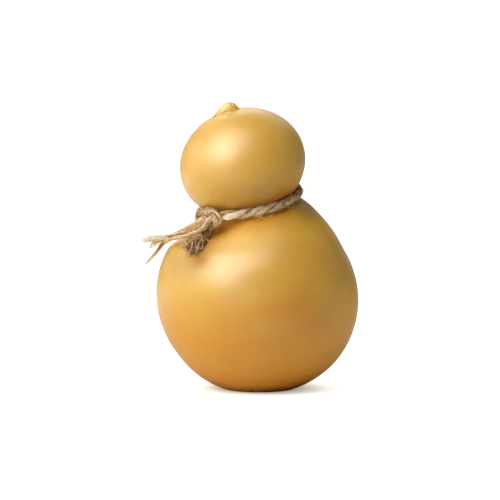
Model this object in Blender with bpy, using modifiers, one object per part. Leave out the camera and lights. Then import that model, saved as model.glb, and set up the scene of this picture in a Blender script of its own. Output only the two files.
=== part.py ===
"""A small smoked scamorza, tied round the neck with jute twine.

The cheese is turned as an upright pear with a flat foot and then leaned: its head
tips to the left and nods forward. The twine lies in the neck's groove, is knotted at
the front left, and ends in a frayed tail and a short tuft.

Metres, +Z up, -Y is the front. The origin is the centre of the foot.
"""

import bpy
import bmesh
from math import asin, ceil, cos, hypot, pi, radians, sin, tau
from mathutils import Euler, Vector
from mathutils.geometry import interpolate_bezier

MM = 0.001
MERGE = 0.005 * MM

# The upright pear: belly, shoulder, neck groove and head
BELLY_RADIUS = 38.4 * MM
BELLY_HALF_HEIGHT = 37.3 * MM
BELLY_CENTRE = 35.0 * MM
SHOULDER_START = radians(34)
SHOULDER_REACH = 4.0 * MM
HEAD_RADIUS = 23.9 * MM
HEAD_HALF_HEIGHT = 19.7 * MM
HEAD_CENTRE = 85.7 * MM
JAW_START = radians(-34)
CROWN_START = radians(68)

# The neck's groove, where the twine lies
RING_RADIUS = 18.5 * MM
RING_HEIGHT = 71.2 * MM
GROOVE_FOOT = RING_HEIGHT - 3.0 * MM
GROOVE_TOP = RING_HEIGHT + 2.5 * MM

# The lean: how far each level slides sideways and forward, and turns
BELLY_SIDESTEP = 0.7 * MM
SIDESTEP_TOP = 14 * MM
BELLY_LEAN = 0.038
HEAD_LEAN = 0.257
HEAD_NOD = 0.215
LEAN_FROM, LEAN_TO = 44 * MM, 95 * MM
TURN_FROM, TURN_TO = 52 * MM, 82 * MM
NOD_FROM = 42 * MM
NOD_GROWTH = 1.9
NECK_TURN = 0.9

# The crown's pinched-shut nub, measured from the head's pole
NUB_HEIGHT = 3.1 * MM
NUB_PEAK = Vector((0.7, 2.4)) * MM
NUB_REACH = {"left": 7.0 * MM, "right": 3.3 * MM, "front": 2.3 * MM, "back": 3.4 * MM}
NUB_BLUNTNESS = 1.8
NUB_MOAT = 0.2 * MM

# The twine: three plies laid together
TWINE_RADIUS = 1.8 * MM
PLY_VALLEY = 0.66
LAY_LENGTH = 19.5 * MM
RING_STATIONS = 26
CLEARANCE = 0.3 * MM
STATION_SPACING = 1.5 * MM

# How finely round things are divided
SEGMENTS = 64
TWINE_SIDES = 12
PLY_SIDES = 8


def eased(value, start, end):
    """0 up to start, 1 from end on, and a smooth step between them."""
    t = min(max((value - start) / (end - start), 0), 1)
    return t * t * (3 - 2 * t)


def eased_total(value, start, end):
    """The area under eased() up to value."""
    span = end - start
    t = min(max((value - start) / span, 0), 1)
    return span * (t**3 - t**4 / 2) + max(value - end, 0)


def leaned(point):
    """Where a point of the upright pear lies on the leaning one.

    Each level slides sideways and forward, and turns with the head. All through the
    groove the turn stays the same, so the groove stays round.
    """
    height = point.z
    bend = eased_total(height, LEAN_FROM, LEAN_TO)
    sidestep = BELLY_SIDESTEP * eased(height, 0, SIDESTEP_TOP)
    slide = sidestep - BELLY_LEAN * height - (HEAD_LEAN - BELLY_LEAN) * bend
    centre = Vector((slide, -HEAD_NOD * bend, height))
    above = (1 - NECK_TURN) * eased(height, GROOVE_TOP, TURN_TO)
    lean = HEAD_LEAN * (above + NECK_TURN * eased(height, TURN_FROM, GROOVE_FOOT))
    up_to_groove = min(max((height - NOD_FROM) / (GROOVE_FOOT - NOD_FROM), 0), 1)
    nod = HEAD_NOD * (above + NECK_TURN * up_to_groove**NOD_GROWTH)
    tilt = Euler((nod, -lean, 0)).to_matrix()
    return centre + tilt @ Vector((point.x, point.y, 0))


def arc(centre, radii, start, end, steps):
    """Points of an upright ellipse's arc, from one angle to another."""
    angles = [start + (end - start) * i / steps for i in range(steps + 1)]
    return [Vector((centre.x + radii.x * cos(a), centre.y + radii.y * sin(a))) for a in angles]


def bridge(before, after, start_reach, end_reach, points):
    """A smooth curve that joins two outlines, leaving each along its own direction."""
    start, end = before[-1], after[0]
    out = (start - before[-2]).normalized() * start_reach
    back = (after[1] - end).normalized() * end_reach
    return interpolate_bezier(start, start + out, end - back, end, points)[1:-1]


def pear_outline():
    """The upright pear's outline (radius, height), from the foot's rim to the pole."""
    belly_radii = Vector((BELLY_RADIUS, BELLY_HALF_HEIGHT))
    foot_angle = asin(-BELLY_CENTRE / BELLY_HALF_HEIGHT)
    belly = arc(Vector((0, BELLY_CENTRE)), belly_radii, foot_angle, SHOULDER_START, 13)
    groove_radius = TWINE_RADIUS + CLEARANCE
    groove_centre = Vector((RING_RADIUS, RING_HEIGHT))
    groove_radii = Vector((groove_radius, groove_radius))
    groove = arc(groove_centre, groove_radii, pi + 1.0, pi - 0.9, 7)
    head_radii = Vector((HEAD_RADIUS, HEAD_HALF_HEIGHT))
    head = arc(Vector((0, HEAD_CENTRE)), head_radii, JAW_START, CROWN_START, 11)
    crown = arc(Vector((0, HEAD_CENTRE)), head_radii, CROWN_START, pi / 2, 12)[1:]
    shoulder = bridge(belly, groove, SHOULDER_REACH, 1 * MM, 7)
    jaw = bridge(groove, head, 2 * MM, 4 * MM, 5)
    return belly + shoulder + groove + jaw + head + crown


def nub_rise(x, y):
    """How far the crown stands above the round head at (x, y) from the pole.

    The nub is a lopsided mound, long to the left and steep to the right, with a
    shallow moat where the curd was drawn together.
    """
    along = x - NUB_PEAK.x
    across = y - NUB_PEAK.y
    along /= NUB_REACH["right"] if along > 0 else NUB_REACH["left"]
    across /= NUB_REACH["back"] if across > 0 else NUB_REACH["front"]
    reach = hypot(along, across)
    mound = NUB_HEIGHT * max(0, 1 - reach**NUB_BLUNTNESS)
    moat = NUB_MOAT * max(0, 1 - ((reach - 1.1) / 0.35) ** 2)
    return mound - moat


def material(name, colour, roughness):
    """A Principled material of one colour."""
    made = bpy.data.materials.new(name)
    made.use_nodes = True
    shader = made.node_tree.nodes["Principled BSDF"]
    shader.inputs["Base Color"].default_value = (*colour, 1)
    shader.inputs["Roughness"].default_value = roughness
    shader.inputs["Metallic"].default_value = 0
    return made


def mesh_object(source, name, collection):
    """A mesh object made from what another object's modifiers or curve settings make."""
    bpy.context.view_layer.update()
    graph = bpy.context.evaluated_depsgraph_get()
    mesh = bpy.data.meshes.new_from_object(source.evaluated_get(graph))
    shape = bmesh.new()
    shape.from_mesh(mesh)
    bmesh.ops.remove_doubles(shape, verts=shape.verts, dist=MERGE)
    bmesh.ops.triangulate(shape, faces=shape.faces)
    bmesh.ops.recalc_face_normals(shape, faces=shape.faces)
    shape.to_mesh(mesh)
    shape.free()
    made = bpy.data.objects.new(name, mesh)
    made.matrix_world = source.matrix_world
    collection.objects.link(made)
    bpy.data.objects.remove(source)
    return made


def keep_outer_shell(mesh):
    """Fills the hollows that fusing sealed, and drops loose scraps."""
    shape = bmesh.new()
    shape.from_mesh(mesh)
    waiting = set(shape.faces)
    shells = []
    while waiting:
        shell = set()
        front = [waiting.pop()]
        while front:
            face = front.pop()
            shell.add(face)
            for edge in face.edges:
                for near in edge.link_faces:
                    if near in waiting:
                        waiting.remove(near)
                        front.append(near)
        shells.append(shell)
    outer = max(shells, key=len)
    inner = [face for face in shape.faces if face not in outer]
    bmesh.ops.delete(shape, geom=inner, context="FACES")
    bmesh.ops.recalc_face_normals(shape, faces=shape.faces)
    shape.to_mesh(mesh)
    shape.free()


def make_cheese(collection):
    """Turns the upright pear, pinches its crown and leans it."""
    outline = [Vector((0, 0))] + pear_outline()
    outline.reverse()
    profile = bpy.data.meshes.new("pear outline")
    corners = [(point.x, 0, point.y) for point in outline]
    profile.from_pydata(corners, [(i, i + 1) for i in range(len(corners) - 1)], [])
    pear = bpy.data.objects.new("upright pear", profile)
    collection.objects.link(pear)
    turned = pear.modifiers.new("turned", "SCREW")
    turned.steps = turned.render_steps = SEGMENTS
    turned.use_merge_vertices = True
    turned.merge_threshold = MERGE
    cheese = mesh_object(pear, "cheese", collection)
    for vertex in cheese.data.vertices:
        point = vertex.co.copy()
        if point.z > HEAD_CENTRE:
            point.z += nub_rise(point.x, point.y)
        vertex.co = leaned(point)
    cheese.data.shade_smooth()
    return cheese


def smooth_route(stations, spacing=STATION_SPACING):
    """Points of one smooth curve through stations of (x, y, z, thickness)."""
    first = 2 * stations[0] - stations[1]
    last = 2 * stations[-1] - stations[-2]
    padded = [first, *stations, last]
    route = []
    for before, start, end, after in zip(padded, padded[1:], padded[2:], padded[3:]):
        steps = max(1, ceil((end - start).xyz.length / spacing))
        for i in range(steps):
            t = i / steps
            bend = (2 * before - 5 * start + 4 * end - after) * t**2
            twist = (3 * start - before - 3 * end + after) * t**3
            route.append((2 * start + (end - before) * t + bend + twist) / 2)
    route.append(stations[-1])
    return route


def in_mm(*stations):
    """Stations given in millimetres and as a share of the twine's thickness."""
    return [Vector((x * MM, y * MM, z * MM, thickness)) for x, y, z, thickness in stations]


def ply_outline(guides):
    """The twine's section as a closed outline: three plies with grooves between them."""
    curve = bpy.data.curves.new("twine section", "CURVE")
    curve.dimensions = "2D"
    spline = curve.splines.new("POLY")
    spline.points.add(TWINE_SIDES - 1)
    spline.use_cyclic_u = True
    for i, point in enumerate(spline.points):
        angle = tau * i / TWINE_SIDES
        bulge = PLY_VALLEY + (1 - PLY_VALLEY) * abs(cos(1.5 * angle))
        reach = TWINE_RADIUS * bulge
        point.co = (reach * cos(angle), reach * sin(angle), 0, 1)
    outline = bpy.data.objects.new("twine section", curve)
    outline.hide_render = True
    outline.display_type = "WIRE"
    guides.objects.link(outline)
    return outline


def strand(name, route, guides, section=None):
    """A closed tube along a route: twisted with the given section, or one round ply."""
    curve = bpy.data.curves.new(name, "CURVE")
    curve.dimensions = "3D"
    curve.use_fill_caps = True
    if section:
        curve.bevel_mode = "OBJECT"
        curve.bevel_object = section
    else:
        curve.bevel_depth = TWINE_RADIUS
        curve.bevel_resolution = PLY_SIDES // 4
    spline = curve.splines.new("POLY")
    spline.points.add(len(route) - 1)
    travelled = 0
    last = route[0]
    for point, station in zip(spline.points, route):
        travelled += (station - last).xyz.length
        last = station
        point.co = (*station.xyz, 1)
        point.radius = station.w
        point.tilt = -tau * travelled / LAY_LENGTH
    tube = bpy.data.objects.new(name, curve)
    guides.objects.link(tube)
    return mesh_object(tube, name, guides)


def ring_stations(start, end, steps):
    """Stations round the neck. Angles run to the left from the front."""
    stations = []
    for i in range(steps + 1):
        angle = start + (end - start) * i / steps
        upright = Vector((-RING_RADIUS * sin(angle), -RING_RADIUS * cos(angle), RING_HEIGHT))
        stations.append(Vector((*leaned(upright), 1)))
    return stations


def neck_route():
    """Out of the knot, round the neck past its right side and back, and under the knot."""
    out_of_knot = in_mm(
        (-22.1, -16.6, 64.2, 0.83),
        (-19.9, -18.0, 64.7, 0.83),
        (-17.2, -18.9, 65.3, 0.8),
        (-15.0, -19.3, 65.8, 0.78),
        (-12.6, -19.3, 66.2, 0.82),
        (-10.4, -18.9, 66.4, 0.93),
    )
    round_neck = ring_stations(radians(15), radians(-290), RING_STATIONS)
    return smooth_route(out_of_knot + round_neck)


def band_route():
    """From the neck's left side over the knot and down its front."""
    return smooth_route(in_mm(
        (-21.1, -3.1, 66.6, 0.78),
        (-21.6, -6.4, 66.6, 0.74),
        (-21.8, -9.6, 67.0, 0.74),
        (-21.2, -12.9, 67.7, 0.75),
        (-20.0, -15.8, 68.2, 0.78),
        (-18.1, -18.4, 68.4, 0.81),
        (-16.4, -20.7, 67.0, 0.88),
        (-15.8, -21.5, 65.0, 0.96),
        (-16.6, -20.8, 63.1, 0.94),
        (-18.1, -18.5, 61.9, 0.83),
    ))


def second_turn_route():
    """The knot's second turn, an open loop at its upper left."""
    return smooth_route(in_mm(
        (-17.2, -18.0, 67.8, 0.72),
        (-19.7, -14.6, 67.8, 0.78),
        (-21.9, -11.0, 67.2, 0.83),
        (-22.9, -9.5, 65.8, 0.83),
        (-22.0, -11.5, 64.5, 0.81),
        (-19.9, -15.0, 64.2, 0.72),
    ))


def tail_routes():
    """The opened long end: a sheaf of two plies that frays, and one curled ply."""
    sheaf = in_mm(
        (-19.9, -17.5, 65.4, 0.75),
        (-22.2, -16.3, 64.6, 0.89),
        (-24.4, -13.0, 62.8, 0.86),
        (-27.0, -9.8, 61.0, 0.69),
        (-29.8, -8.1, 59.7, 0.58),
        (-32.9, -7.5, 58.7, 0.46),
        (-36.3, -7.3, 58.2, 0.39),
        (-39.2, -7.2, 57.8, 0.36),
    )
    fray_from = sheaf[-2]
    frayed_tips = in_mm(
        (-43.6, -6.8, 58.3, 0.19),
        (-43.9, -7.4, 57.0, 0.19),
        (-41.5, -8.0, 54.3, 0.17),
    )
    curl = in_mm(
        (-17.2, -20.2, 66.3, 0.5),
        (-19.1, -20.4, 64.0, 0.56),
        (-21.1, -19.0, 61.7, 0.56),
        (-23.8, -16.4, 60.1, 0.53),
        (-26.9, -13.6, 58.7, 0.53),
        (-29.8, -12.0, 57.8, 0.5),
        (-32.4, -11.0, 57.3, 0.47),
        (-34.6, -10.6, 56.9, 0.44),
        (-36.4, -10.3, 55.6, 0.42),
        (-38.4, -10.0, 52.9, 0.42),
        (-40.6, -9.8, 50.4, 0.36),
        (-42.7, -9.5, 48.2, 0.28),
    )
    frays = [[fray_from, (fray_from + tip) / 2, tip] for tip in frayed_tips]
    return [smooth_route(route, 2 * MM) for route in [sheaf, curl, *frays]]


def tuft_routes():
    """The short end: a flared brush on the shoulder, with locks at its tip."""
    brush = in_mm(
        (-17.7, -15.9, 61.9, 0.8),
        (-20.0, -16.8, 60.1, 0.9),
        (-22.1, -18.9, 58.3, 1.0),
        (-24.1, -21.2, 56.6, 1.03),
        (-25.6, -22.5, 55.2, 0.72),
    )
    lock_tips = in_mm(
        (-28.6, -18.7, 54.2, 0.33),
        (-28.0, -22.1, 52.5, 0.33),
        (-26.4, -25.1, 51.6, 0.33),
        (-24.3, -26.5, 52.1, 0.33),
        (-22.5, -26.0, 53.6, 0.33),
        (-20.9, -23.8, 55.4, 0.28),
    )
    lock_root = Vector((*brush[3].xyz, 0.62))
    locks = [[lock_root, tip] for tip in lock_tips]
    return [smooth_route(route, 2 * MM) for route in [brush, *locks]]


def make_twine(collection, guides):
    """Fuses the twine's ring, knot and ends into one solid."""
    section = ply_outline(guides)
    neck = strand("neck strand", neck_route(), guides, section)
    pieces = [
        strand("band", band_route(), guides, section),
        strand("second turn", second_turn_route(), guides, section),
    ]
    for number, route in enumerate(tail_routes() + tuft_routes()):
        pieces.append(strand(f"end {number}", route, guides))
    joined = bpy.data.collections.new("joined to the neck strand")
    bpy.context.scene.collection.children.link(joined)
    for piece in pieces:
        joined.objects.link(piece)
    union = neck.modifiers.new("union", "BOOLEAN")
    union.operation = "UNION"
    union.operand_type = "COLLECTION"
    union.collection = joined
    union.solver = "MANIFOLD"
    twine = mesh_object(neck, "twine", collection)
    keep_outer_shell(twine.data)
    for piece in pieces + [section]:
        bpy.data.objects.remove(piece)
    bpy.data.collections.remove(joined)
    twine.data.shade_smooth()
    return twine


def build():
    """Clears the scene and makes the tied cheese."""
    for old in list(bpy.data.objects):
        bpy.data.objects.remove(old)
    collection = bpy.data.collections.new("smoked scamorza")
    guides = bpy.data.collections.new("guides")
    bpy.context.scene.collection.children.link(collection)
    bpy.context.scene.collection.children.link(guides)
    cheese = make_cheese(collection)
    cheese.data.materials.clear()
    cheese.data.materials.append(material("smoked skin", (0.72, 0.43, 0.12), 0.38))
    twine = make_twine(collection, guides)
    twine.data.materials.clear()
    twine.data.materials.append(material("jute", (0.55, 0.40, 0.24), 0.9))


build()
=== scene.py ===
"""Looks of the smoked scamorza: its skin and its jute twine, with a white studio set.

The skin is turned and leaned by the same functions as the solids, only finer, and has
low relief. The twine follows the solids' routes to within about 1.5 mm, strand by
strand, in plies wrapped with fibres. Lengths are in millimetres, and become metres in
the meshes. In the materials, on the floor and for the lights they are in metres.
"""

from math import asin, cos, pi, radians, sin, tau

import bpy
import numpy as np
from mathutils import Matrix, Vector


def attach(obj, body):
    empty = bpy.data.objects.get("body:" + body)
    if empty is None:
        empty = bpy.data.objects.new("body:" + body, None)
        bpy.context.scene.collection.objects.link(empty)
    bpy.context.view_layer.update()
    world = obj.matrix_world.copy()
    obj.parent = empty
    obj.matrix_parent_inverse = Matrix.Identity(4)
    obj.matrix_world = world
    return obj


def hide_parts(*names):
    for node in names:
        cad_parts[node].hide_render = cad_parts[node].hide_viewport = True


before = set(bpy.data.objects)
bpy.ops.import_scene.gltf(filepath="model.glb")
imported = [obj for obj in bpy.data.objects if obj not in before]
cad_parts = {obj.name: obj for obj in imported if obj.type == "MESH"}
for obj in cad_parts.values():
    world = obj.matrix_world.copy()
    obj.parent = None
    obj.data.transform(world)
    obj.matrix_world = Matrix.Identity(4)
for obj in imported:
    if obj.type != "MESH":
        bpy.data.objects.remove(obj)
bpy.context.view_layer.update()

MM = 0.001

# The upright pear and its lean, as in the solids
BELLY_RADIUS, BELLY_HALF_HEIGHT, BELLY_CENTRE = 38.4, 37.3, 35.0
SHOULDER_START, SHOULDER_REACHES = radians(34), (4.0, 1.0)
HEAD_RADIUS, HEAD_HALF_HEIGHT, HEAD_CENTRE = 23.9, 19.7, 85.7
JAW_START, JAW_REACHES = radians(-34), (2.0, 4.0)
RING_RADIUS, RING_HEIGHT, GROOVE_RADIUS = 18.5, 71.2, 2.1
GROOVE_START, GROOVE_END = pi + 1.0, pi - 0.9
GROOVE_FOOT, GROOVE_TOP = RING_HEIGHT - 3.0, RING_HEIGHT + 2.5
BELLY_SIDESTEP, SIDESTEP_TOP = 0.7, 14
BELLY_LEAN, HEAD_LEAN, HEAD_NOD, NECK_TURN = 0.038, 0.257, 0.215, 0.9
LEAN_FROM, LEAN_TO, TURN_FROM, TURN_TO = 44, 95, 52, 82
NOD_FROM, NOD_GROWTH = 42, 1.9
NUB_HEIGHT, NUB_BLUNTNESS, NUB_PEAK = 3.1, 1.8, (0.7, 2.4)
NUB_REACH = {"left": 7.0, "right": 3.3, "front": 2.3, "back": 3.4}

# Small marks on the nub: height, place on the upright crown, half widths
NUB_MARKS = (
    (-0.3, (1.6, 2.4), (0.45, 1.6)),  # the dent in its crest
    (0.3, (2.4, 2.4), (0.5, 1.6)),  # its second, lower peak
    (-0.6, (-6.6, 1.6), (0.5, 0.5 / 0.7)),  # the pit at its left
    (0.45, (-9.5, -0.3), (0.4, 0.88)),  # the thin flake beside the pit
)

# Faint lumps in the skin: height, wavelength, seed. Pleats beside the twine: height,
# wavelength, seed, and how soon they fade away from it
LUMPS = ((0.1, 28, 1), (0.025, 9, 2))
PLEAT_HEIGHT, PLEAT_LENGTH, PLEAT_SEED, PLEAT_FADE = 0.12, 3.2, 3, 4.5
WAVE_COUNT = 22

# The skin's mesh
SKIN_SIDES = 300
FINE_STEP, COARSE_STEP = 0.34, 0.8

# The skin's colours, and the ones that take over by share. The orange and brown ones are partly
# painted shade, the darkest one wholly, and the pale one partly painted highlights
STRAW = ((0.0, (0.73, 0.41, 0.048)), (0.5, (0.77, 0.455, 0.06)), (1.0, (0.80, 0.495, 0.078)))
PATCH_COLOUR, FRECKLE_COLOUR = (0.68, 0.33, 0.042), (0.62, 0.31, 0.05)
SHADE_COLOURS = {
    "orange_and_shade": (0.80, 0.36, 0.018), "smoke_and_shade": (0.64, 0.24, 0.022),
    "pale": (0.88, 0.62, 0.22), "dark": (0.14, 0.05, 0.015),
}
# Painted highlights on the skin's front: place seen from the front, half widths, share
PAINTED_HIGHLIGHTS = (
    ((-8.5, 54.5), (15.0, 5.5), 0.55), ((-16.8, 89.0), (11.0, 9.5), 0.4),
    ((-20.0, 46.0), (6.0, 5.0), 0.2), ((-10.0, 39.5), (9.0, 5.5), 0.22),
)
# Stretches of painted shadow by the tuft, and one by the curl that only takes gloss away: start,
# end, half width
LEFT_STRETCH = ((-31.0, -19.0, 48.5), (-22.5, -28.0, 49.5), 5.5)
TUFT_STRETCH = ((-17.6, -19.5, 58.0), (-21.2, -27.0, 52.2), 4.6)
CURL_STRETCH = ((-33.4, -3.0, 54.5), (-30.0, -6.5, 55.8), 3.5)

# The jute's colours, by tone, and the colour of its golden hairs
JUTE = (
    (0.0, (0.16, 0.062, 0.015)), (0.25, (0.41, 0.20, 0.063)), (0.5, (0.70, 0.44, 0.195)),
    (0.75, (0.91, 0.71, 0.44)), (1.0, (1.0, 0.935, 0.78)),
)
GOLDEN = (0.95, 0.60, 0.20)

# The twine: three plies, each a core wrapped with clumps of fibres. The core, and the fibres deep
# between the plies, are darker: painted shade
TWINE_RADIUS, LAY_LENGTH = 1.8, 15.5
PLY_RADIUS, PLY_OFFSET = 0.84, 0.93
PLY_FIBRES, CLUMP, FIBRE_LAY = 30, 4, -26.0
FIBRE_RADIUS, WILD_RADIUS, FUZZ_RADIUS = 0.1, 0.085, 0.05
CORE_SHARE, CORE_SHADE, DEPTH_SHADE = 0.88, 0.38, 0.6
# The ring's course in degrees to the left of the front, its lift at the front, and its
# thickness with what it loses at the right
RING_FROM, RING_TO, RING_COUNT = 15, -290, 26
RING_LIFT, RING_SHARE, RING_THINNING = 0.6, 0.92, 0.1
# Where a ply of the ring that faces the front is brighter, how wide, and by how much: a painted
# highlight
SPINDLE_X, SPINDLE_WIDTH, SPINDLE_GLOW = -7.5, 6.5, 0.16

# The twine's routes: stations of (x, y, z, share of the twine's thickness)
ROUTE_STEP, KNOT_STEP, PLY_STEP, STRAY_STEP = 0.45, 0.35, 0.3, 0.2
# From under the knot to where the ring round the neck starts
NECK_START = (
    (-22.1, -16.6, 64.2, 0.83), (-19.9, -18.0, 64.7, 0.83), (-17.2, -18.9, 65.3, 0.8),
    (-15.0, -19.3, 66.1, 0.72), (-12.6, -19.3, 66.7, 0.74), (-10.4, -19.1, 67.2, 0.8),
)
# The ply that stands out of the ring's front, just right of the knot. It is pale, partly its own
# colour and partly a painted highlight
PALE_PLY = (
    (-13.3, -20.6, 65.9, 0.14), (-12.6, -20.9, 66.05, 0.4), (-11.2, -21.1, 66.5, 0.53),
    (-9.4, -21.1, 67.2, 0.52), (-7.4, -20.9, 68.05, 0.42), (-5.4, -20.5, 68.9, 0.3),
    (-3.4, -20.0, 69.6, 0.12),
)
# The thin brown ply above the pale one
UPPER_PLY = (
    (-15.3, -19.4, 67.0, 0.3), (-14.2, -19.7, 67.7, 0.38), (-12.5, -19.8, 68.15, 0.4),
    (-10.7, -19.8, 68.4, 0.38), (-9.0, -19.7, 68.5, 0.32), (-7.4, -19.5, 68.5, 0.18),
)
# Loose fibres that fill the notch between the knot and the head
NOTCH = (
    (-22.6, -5.0, 68.7, 0.3), (-22.2, -8.0, 68.6, 0.3), (-21.0, -12.0, 68.6, 0.3),
    (-19.5, -15.5, 68.8, 0.3), (-17.8, -18.6, 68.9, 0.32), (-16.0, -20.4, 68.1, 0.3),
)
# The knot's tight loop
BAND = (
    (-21.1, -3.1, 66.6, 0.78), (-21.6, -6.4, 66.6, 0.74), (-21.8, -9.6, 67.0, 0.74),
    (-21.2, -12.9, 67.7, 0.75), (-20.0, -15.8, 68.2, 0.78), (-18.1, -18.4, 68.4, 0.81),
    (-16.4, -20.7, 67.0, 0.88), (-15.8, -21.4, 65.2, 0.94), (-16.4, -20.8, 63.8, 0.86),
    (-17.7, -18.7, 63.1, 0.7),
)
# The looser turn behind the loop
SECOND_TURN = (
    (-17.2, -18.0, 67.8, 0.72), (-19.7, -14.6, 67.8, 0.78), (-21.9, -11.0, 67.2, 0.83),
    (-22.5, -9.5, 65.8, 0.8), (-21.8, -11.5, 64.5, 0.8), (-19.9, -15.0, 64.2, 0.72),
)
# The long end's opened plies, side by side
SHEAF = (
    (-20.2, -17.2, 65.2, 0.85), (-22.4, -16.0, 64.0, 0.98), (-24.6, -12.9, 62.4, 0.88),
    (-27.1, -10.0, 61.1, 0.7), (-29.8, -8.2, 60.0, 0.52), (-32.9, -7.6, 59.0, 0.32),
    (-36.3, -7.4, 58.0, 0.34), (-39.3, -7.3, 57.5, 0.42),
)
# The fibres that show between the sheaf and the curl: brown by the knot, then dark, as painted
# shade in the gap
GAP = (
    (-20.8, -18.0, 64.1, 0.5), (-22.7, -16.0, 62.4, 0.6), (-24.6, -12.6, 60.9, 0.55),
    (-27.4, -9.6, 59.3, 0.45), (-30.2, -8.4, 58.5, 0.34), (-33.0, -7.9, 58.0, 0.28),
    (-35.4, -7.7, 57.6, 0.2),
)
# The fibres that bridge the sheaf and the curl where both leave the knot
WEB = (
    (-18.7, -20.8, 66.2, 0.25), (-20.5, -20.5, 64.6, 0.34), (-22.2, -19.0, 62.9, 0.36),
    (-24.6, -16.0, 61.4, 0.34), (-26.6, -13.6, 60.3, 0.2),
)
# The long end's one ply that curls down
CURL = (
    (-17.7, -20.6, 66.3, 0.46), (-19.3, -20.9, 64.3, 0.55), (-21.0, -19.6, 62.1, 0.47),
    (-23.7, -16.9, 60.5, 0.42), (-26.9, -13.6, 59.0, 0.42), (-29.8, -12.0, 58.3, 0.4),
    (-32.4, -11.0, 57.8, 0.38), (-34.6, -10.6, 56.9, 0.37), (-36.4, -10.3, 55.6, 0.36),
    (-38.4, -10.0, 52.9, 0.36), (-40.6, -9.8, 50.4, 0.34), (-42.7, -9.5, 48.2, 0.3),
)
# The small prong below the sheaf's end
PRONG = (
    (-33.6, -7.5, 58.3, 0.3), (-36.8, -7.5, 57.2, 0.3), (-39.2, -7.8, 56.2, 0.26),
    (-40.6, -8.0, 55.2, 0.2), (-41.6, -8.0, 54.2, 0.12),
)
# The short tuft's core
TUFT = (
    (-18.8, -15.6, 61.8, 0.75), (-21.0, -17.2, 59.8, 0.8), (-23.0, -19.4, 57.9, 0.9),
    (-24.8, -21.6, 56.1, 1.0), (-26.0, -23.4, 54.6, 0.85),
)
# Spots round the tuft's end, which its hairs reach for
TUFT_TIPS = (
    (-29.0, -12.5, 56.6), (-28.6, -18.4, 54.8), (-28.0, -21.6, 53.5), (-26.8, -24.2, 52.4),
    (-24.9, -26.4, 52.0), (-23.2, -27.0, 52.6), (-22.0, -26.4, 54.0), (-21.4, -24.0, 55.7),
    (-20.6, -20.6, 57.7), (-19.5, -17.4, 59.7), (-18.7, -15.4, 61.6),
)
# The tuft's hairs: count, tone, thickness, how proud of the core, waviness, reach
TUFT_HAIRS = (
    (230, 0.14, 0.08, 0.3, 0.35, 0.88), (110, 0.42, 0.085, 0.9, 0.4, 1.02),
    (46, 0.7, 0.085, 1.5, 0.5, 1.1),
)
# Where the long end's fibres fan out: root, tips, count, tone, looseness
FANS = (
    ((-33.8, -7.4, 58.3), ((-44.2, -7.0, 57.7), (-44.0, -7.2, 56.8), (-41.5, -7.6, 55.7)),
     80, 1.12, 0.35),
    ((-35.0, -7.6, 57.6), ((-41.3, -7.8, 54.6), (-41.0, -7.8, 53.9)), 16, 0.8, 0.2),
)
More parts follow.
